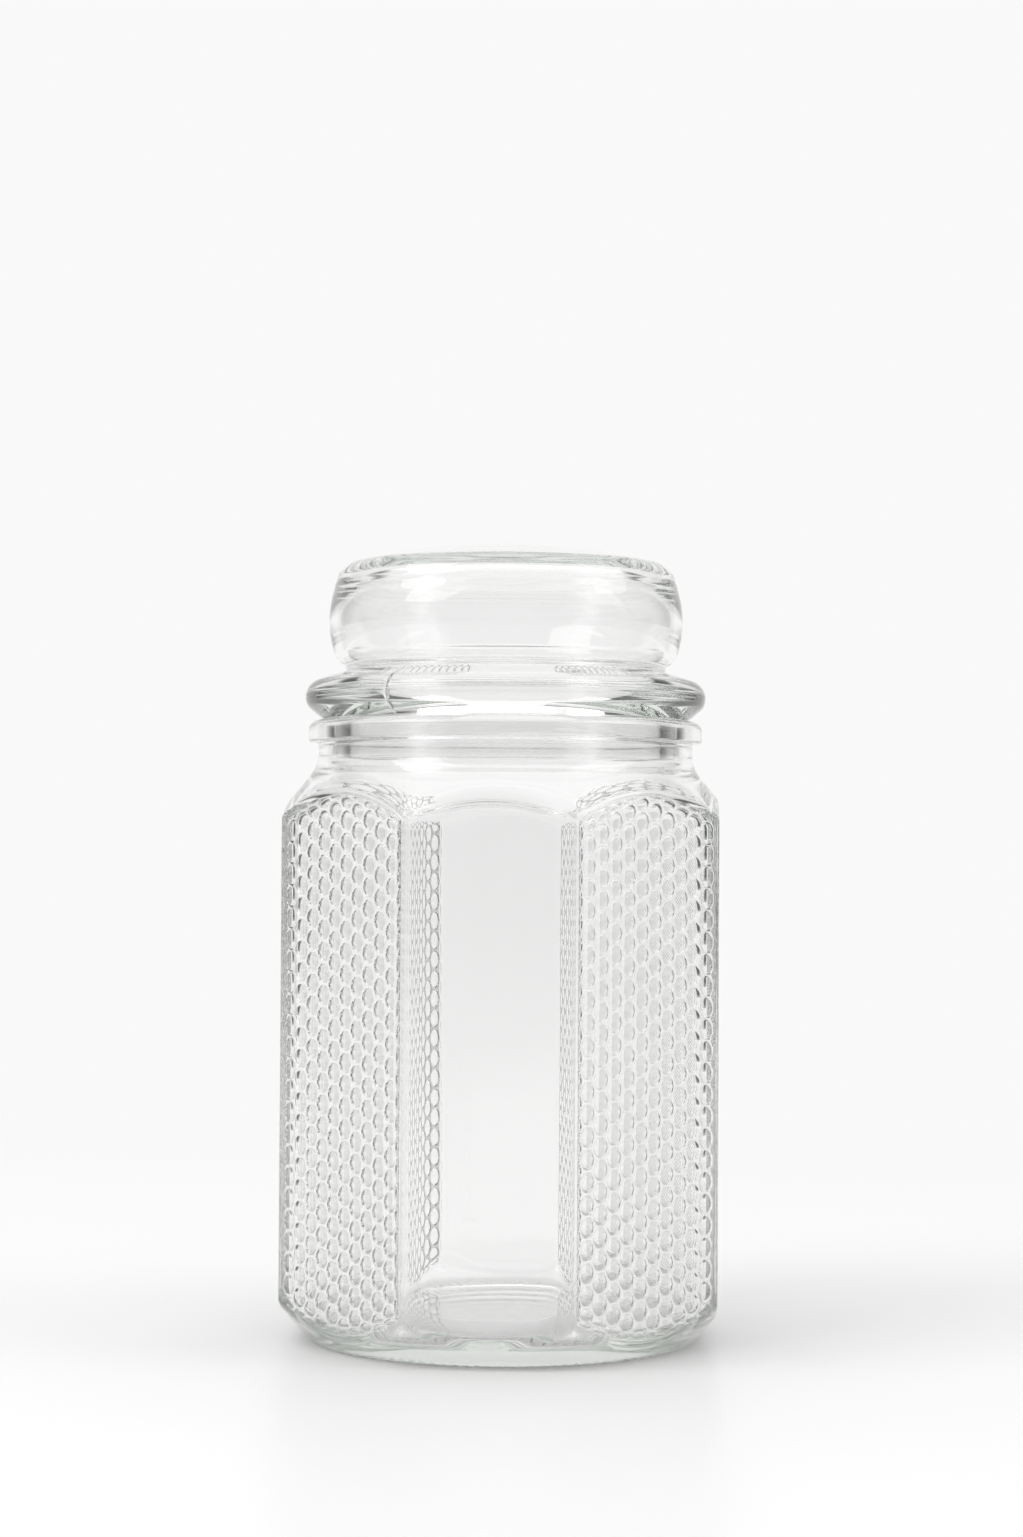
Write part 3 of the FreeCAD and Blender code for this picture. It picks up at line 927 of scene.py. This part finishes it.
def seamed(tree, size, turned):
    """Gathers the columns near the seam towards it, and raises the nearest ones to be its fin."""
    x, y, z = position_parts(tree)
    radius = (x ** 2.0 + y ** 2.0).by("SQRT")
    from_seam = (y.by("ARCTAN2", x) - size["Seam angle"]).by("WRAP", math.pi, -math.pi)
    near = ((from_seam / size["Seam gathering"]) ** 2.0 * -1.0).by("EXPONENT")
    gathered = from_seam * (near * -GATHERING + 1.0)
    angle = size["Seam angle"] + gathered
    closeness = 1.0 - gathered.by("ABSOLUTE") / size["Seam half width"]
    on_ring = (z > size["Seam bottom"]) * (z < size["Seam top"]) * (radius > size["Seam inner radius"])
    raised = radius + closeness.by("MAXIMUM", 0.0) * size["Seam height"] * on_ring
    return add_node(tree, "GeometryNodeSetPosition", {
        "Geometry": turned, "Position": (raised * angle.by("COSINE"), raised * angle.by("SINE"), z)}).outputs[0]


def turning_tree():
    tree, lid_outline, size = new_tree("turned_lid", TURNING)
    outline = add_node(tree, "GeometryNodeMeshToCurve", {"Mesh": lid_outline}).outputs[0]
    round_path = add_node(tree, "GeometryNodeCurvePrimitiveCircle", {
        "Resolution": size["Segments"], "Radius": PATH_RADIUS}, mode="RADIUS").outputs[0]
    turned = add_node(tree, "GeometryNodeCurveToMesh", {"Curve": round_path, "Profile Curve": outline}).outputs[0]
    lid = add_node(tree, "GeometryNodeMergeByDistance", {
        "Geometry": seamed(tree, size, turned), "Distance": POLE_JOIN}).outputs[0]
    finish_tree(tree, lid, lid_glass)
    return tree


# %% The lid's mesh
outline_mesh = bpy.data.meshes.new("lid_outline")
outline_mesh.from_pydata([(radius - PATH_RADIUS, -height, 0.0) for radius, height in lid_points],
                         [(index, index + 1) for index in range(len(lid_points) - 1)], [])
lid_turned = made_by_nodes("lid_turned", outline_mesh, turning_tree(), TURNING)
lid_mesh = closed_mesh("lid_dome", [lid_turned], POLE_JOIN)

# %% [markdown]
# The finished pieces sit at the origin, unturned, in metres. Each takes the place of its plain CAD node.

# %% Finished pieces
def finished(name, mesh, material, node):
    """Puts a millimetre mesh into metres, shades it smooth and lets it stand for its CAD node."""
    mesh.transform(Matrix.Scale(MM, 4))
    mesh.materials.clear()
    mesh.materials.append(material)
    mesh.shade_smooth()
    piece = placed(name, mesh)
    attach(piece, "root")
    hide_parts(node)
    print(f"{name}: {len(mesh.polygons)} faces, for the node {node}")


finished("jar_body", closed_mesh("jar_closed", [jar_mesh], 0.001), jar_glass, "jar")
finished("dome_lid", lid_mesh, lid_glass, "lid")

# %% [markdown]
# The studio is a white table that runs into a white background. The table is a lacquered board. Away from the
# jar it fades into the background's own white, so that no edge shows. In Cycles a lamp's light doesn't pass
# through clear glass, though on a real table it does. So what is seen through the jar has part of that white too.

# %% Table
def floor_disc(radius, rings, segments):
    """A round floor as rings of faces."""
    points = [(0.0, 0.0, 0.0)]
    for ring in range(1, rings + 1):
        reach = radius * (ring / rings) ** 2
        for segment in range(segments):
            angle = 2 * math.pi * segment / segments
            points.append((reach * math.cos(angle), reach * math.sin(angle), 0.0))
    quads = [(0, 1 + segment, 1 + (segment + 1) % segments) for segment in range(segments)]
    for ring in range(rings - 1):
        inner = 1 + ring * segments
        outer = inner + segments
        for segment in range(segments):
            nearby = (segment + 1) % segments
            quads.append((inner + segment, outer + segment, outer + nearby, inner + nearby))
    mesh = bpy.data.meshes.new("studio_floor")
    mesh.from_pydata(points, [], quads)
    return mesh


# %% What is seen, and what only lights
def seen_directly(tree):
    """One for what is seen straight, mirrored or through glass, and nothing for what only lights."""
    ray = add_node(tree, "ShaderNodeLightPath").outputs
    straight, mirrored, through = (
        Number(tree, ray[kind]) for kind in ("Is Camera Ray", "Is Glossy Ray", "Is Transmission Ray"))
    return straight.by("MAXIMUM", mirrored.by("MAXIMUM", through))


# %% The table's surface
BACKGROUND = "#FAF9F9"
BOARD = "#F7F6F6"
FLOOR_FADE_FROM = 0.16
FLOOR_FADE_TO = 0.55
LIGHT_THROUGH_GLASS = 0.36

floor_material, tree = new_material("white_lacquered_board")
board = add_node(tree, "ShaderNodeBsdfPrincipled", {
    "Base Color": linear(BOARD), "Roughness": 0.35, "Specular IOR Level": 0.3})
beyond = add_node(tree, "ShaderNodeEmission", {"Color": linear(BACKGROUND), "Strength": 1.0})
place = add_node(tree, "ShaderNodeTexCoord").outputs["Object"]
distance = add_node(tree, "ShaderNodeVectorMath", {0: place}, operation="LENGTH").outputs["Value"]
fade = add_node(tree, "ShaderNodeMapRange", {
    "Value": distance, "From Min": FLOOR_FADE_FROM, "From Max": FLOOR_FADE_TO}, interpolation_type="SMOOTHSTEP")
through_glass = Number(tree, add_node(tree, "ShaderNodeLightPath").outputs["Is Transmission Ray"])
share = (Number(tree, fade.outputs["Result"]) * seen_directly(tree)).by(
    "MAXIMUM", through_glass * LIGHT_THROUGH_GLASS)
mixed = add_node(tree, "ShaderNodeMixShader", {0: share, 1: board.outputs[0], 2: beyond.outputs[0]})
add_node(tree, "ShaderNodeOutputMaterial", {"Surface": mixed.outputs[0]})

# %% The table in place
FLOOR_RADIUS = 6.0
floor = placed("studio_floor", floor_disc(FLOOR_RADIUS, rings=24, segments=96))
floor.data.materials.append(floor_material)
print(f"table: {len(floor.data.polygons)} faces")

# %% [markdown]
# Light goes round and round inside thick glass before it leaves. If the count of bounces ends too soon, the
# rims of the jar turn black, so the count is raised.

# %% Bounces
BOUNCES = 36
bpy.context.scene.cycles.max_bounces = BOUNCES
bpy.context.scene.cycles.transmission_bounces = BOUNCES
bpy.context.scene.cycles.glossy_bounces = BOUNCES
print(f"light may bounce {BOUNCES} times")

# %% World
WORLD_LIGHT = 0.88
world = bpy.data.worlds.new("studio")
world.use_nodes = True
bpy.context.scene.world = world
tree = world.node_tree
tree.nodes.clear()
lit = add_node(tree, "ShaderNodeBackground", {"Color": linear("#FFFFFF"), "Strength": WORLD_LIGHT})
shown = add_node(tree, "ShaderNodeBackground", {"Color": linear(BACKGROUND), "Strength": 1.0})
mixed = add_node(tree, "ShaderNodeMixShader", {0: seen_directly(tree), 1: lit.outputs[0], 2: shown.outputs[0]})
add_node(tree, "ShaderNodeOutputWorld", {"Surface": mixed.outputs[0]})
print(f"white surroundings of strength {WORLD_LIGHT}")

# %% [markdown]
# Clear glass shows only what stands round it, so in a studio cards stand round it, out of sight:
# - a dark screen on the camera's side, whose foot runs out over the table, darkens what the glass mirrors;
# - two grey screens at the left and right give the edges and the ends of the ring their grey;
# - a white card overhead lights the crests, the shoulder and the top of the lid.
# Their edges are soft, or they would draw hard lines in the glass. "cover" tells how solid a card is at a point.

# %% A card's mesh
CARD_COLUMNS = 32
CARD_LINES = 20


def card_mesh(name, surface):
    """A grid. surface(across, up), both from 0 to 1, gives a point and how solid the card is there."""
    points = []
    cover = []
    for line in range(CARD_LINES + 1):
        for column in range(CARD_COLUMNS + 1):
            point, solid = surface(column / CARD_COLUMNS, line / CARD_LINES)
            points.append(point)
            cover.append(max(0.0, min(1.0, solid)))
    quads = []
    for line in range(CARD_LINES):
        for column in range(CARD_COLUMNS):
            corner = line * (CARD_COLUMNS + 1) + column
            above = corner + CARD_COLUMNS + 1
            quads.append((corner, corner + 1, above + 1, above))
    mesh = bpy.data.meshes.new(name)
    mesh.from_pydata(points, [], quads)
    mesh.attributes.new("cover", "FLOAT", "POINT").data.foreach_set("value", cover)
    return mesh


# %% A card in place
def card(name, surface, colour, strength=1.0):
    """A soft-edged card. It shows in glass and gloss, and hides from the camera."""
    mesh = card_mesh(name, surface)
    material, tree = new_material(name)
    share = add_node(tree, "ShaderNodeAttribute", attribute_name="cover").outputs["Fac"]
    clear = add_node(tree, "ShaderNodeBsdfTransparent")
    glow = add_node(tree, "ShaderNodeEmission", {"Color": linear(colour), "Strength": strength})
    mixed = add_node(tree, "ShaderNodeMixShader", {0: share, 1: clear.outputs[0], 2: glow.outputs[0]})
    add_node(tree, "ShaderNodeOutputMaterial", {"Surface": mixed.outputs[0]})
    mesh.materials.append(material)
    board = placed(name, mesh)
    board.visible_camera = False
    board.visible_diffuse = False
    board.visible_shadow = False
    print(f"{name}: {len(mesh.polygons)} faces")


# %% Shapes of the cards
def footed_screen(name, middle_angle, half_turn, foot, distance, top, softness, grey):
    """A grey screen bent round the jar, whose foot runs out over the table and thins out towards the jar."""
    foot_share = 0.35  # of the screen's lines
    foot_solid = 0.65  # how solid the foot is where the screen rises from it
    rise = 0.10  # height above the foot at which the screen is fully solid
    over_table = 0.003

    def surface(across, up):
        share = 2 * across - 1
        angle = middle_angle + half_turn * share
        edge = (1 - abs(share)) * half_turn * distance / softness
        if up < foot_share:
            radius = foot + (distance - foot) * up / foot_share
            height = over_table
            solid = foot_solid * up / foot_share
        else:
            radius = distance
            height = over_table + top * ((up - foot_share) / (1 - foot_share)) ** 2
            solid = min(foot_solid + (1 - foot_solid) * height / rise, (top - height) / softness)
        return (radius * math.cos(angle), radius * math.sin(angle), height), min(1.0, edge) * min(1.0, solid)
    card(name, surface, grey)


def curved_screen(name, middle_angle, half_turn, distance, bottom, top, softness, grey):
    """A grey screen bent round the jar."""
    def surface(across, up):
        share = 2 * across - 1
        angle = middle_angle + half_turn * share
        height = bottom + (top - bottom) * up
        edge = min((1 - abs(share)) * half_turn * distance, height - bottom, top - height)
        return (distance * math.cos(angle), distance * math.sin(angle), height), edge / softness
    card(name, surface, grey)


def overhead_card(name, height, half_size, softness, strength):
    """A white card that hangs level over the jar, as the cloth of an overhead soft box does."""
    def surface(across, up):
        x, y = half_size * (2 * across - 1), half_size * (2 * up - 1)
        return (x, y, height), (half_size - max(abs(x), abs(y))) / softness
    card(name, surface, "#FFFFFF", strength)


# %% The cards round the jar
SIDE_ANGLE = math.radians(99)
SIDE_HALF_TURN = math.radians(42)
footed_screen("camera_side_screen", CAMERA_ANGLE, math.radians(55),
              foot=0.2, distance=1.05, top=1.3, softness=0.15, grey="#3A3C3A")
for name, side_angle in (("left_screen", -SIDE_ANGLE), ("right_screen", SIDE_ANGLE)):
    curved_screen(name, CAMERA_ANGLE + side_angle, SIDE_HALF_TURN,
                  distance=1.1, bottom=-0.1, top=1.2, softness=0.18, grey="#5A5C5A")
overhead_card("overhead_card", height=0.9, half_size=0.65, softness=0.25, strength=1.5)

# %% [markdown]
# A large soft lamp hangs at the upper left and a weaker one at the right. They light the table, and the jar's
# soft shadow on it comes from them.

# %% Lamps
MIDDLE_OF_JAR = Vector((0, 0, 0.08))


def soft_lamp(name, angle, height, distance, size, power):
    """An area lamp aimed at the middle of the jar."""
    lamp = bpy.data.lights.new(name, "AREA")
    lamp.shape = "RECTANGLE"
    lamp.size, lamp.size_y = size
    lamp.energy = power
    holder = placed(name, lamp)
    holder.location = (distance * math.cos(angle), distance * math.sin(angle), height)
    holder.rotation_euler = (MIDDLE_OF_JAR - holder.location).to_track_quat("-Z", "Y").to_euler()
    print(f"{name}: {power} W")


soft_lamp("key_lamp", CAMERA_ANGLE - math.radians(60), height=0.9, distance=0.8, size=(0.6, 0.8), power=3.8)
soft_lamp("fill_lamp", CAMERA_ANGLE + math.radians(75), height=0.8, distance=0.9, size=(0.5, 0.7), power=1.5)

# %% [markdown]
# The camera stands a little above the middle of the jar's height and a few degrees from square with the front
# side, which is how such a jar is usually shown: nearly level, with almost no view into it.

# %% Camera
CAMERA_DISTANCE = 0.688
CAMERA_HEIGHT = 0.114
SENSOR_HEIGHT = 36.0
FOCAL_LENGTH = 70.26675
PITCH = math.radians(1.27)
YAW = math.radians(-0.12)
ROLL = math.radians(0.34)

lens = bpy.data.cameras.new("camera")
lens.sensor_fit = "VERTICAL"
lens.sensor_height = SENSOR_HEIGHT
lens.lens = FOCAL_LENGTH
camera = placed("camera", lens)
camera.location = (
    CAMERA_DISTANCE * math.cos(CAMERA_ANGLE), CAMERA_DISTANCE * math.sin(CAMERA_ANGLE), CAMERA_HEIGHT)
level = Euler((math.pi / 2 + PITCH, 0, CAMERA_ANGLE + math.pi / 2 + YAW), "XYZ").to_matrix()
camera.rotation_euler = (level @ Matrix.Rotation(ROLL, 3, "Z")).to_euler()
bpy.context.scene.camera = camera
bpy.context.scene.view_settings.view_transform = "Standard"
print(f"camera {CAMERA_DISTANCE} m from the axis, {CAMERA_HEIGHT} m high, with a {FOCAL_LENGTH:.1f} mm lens")
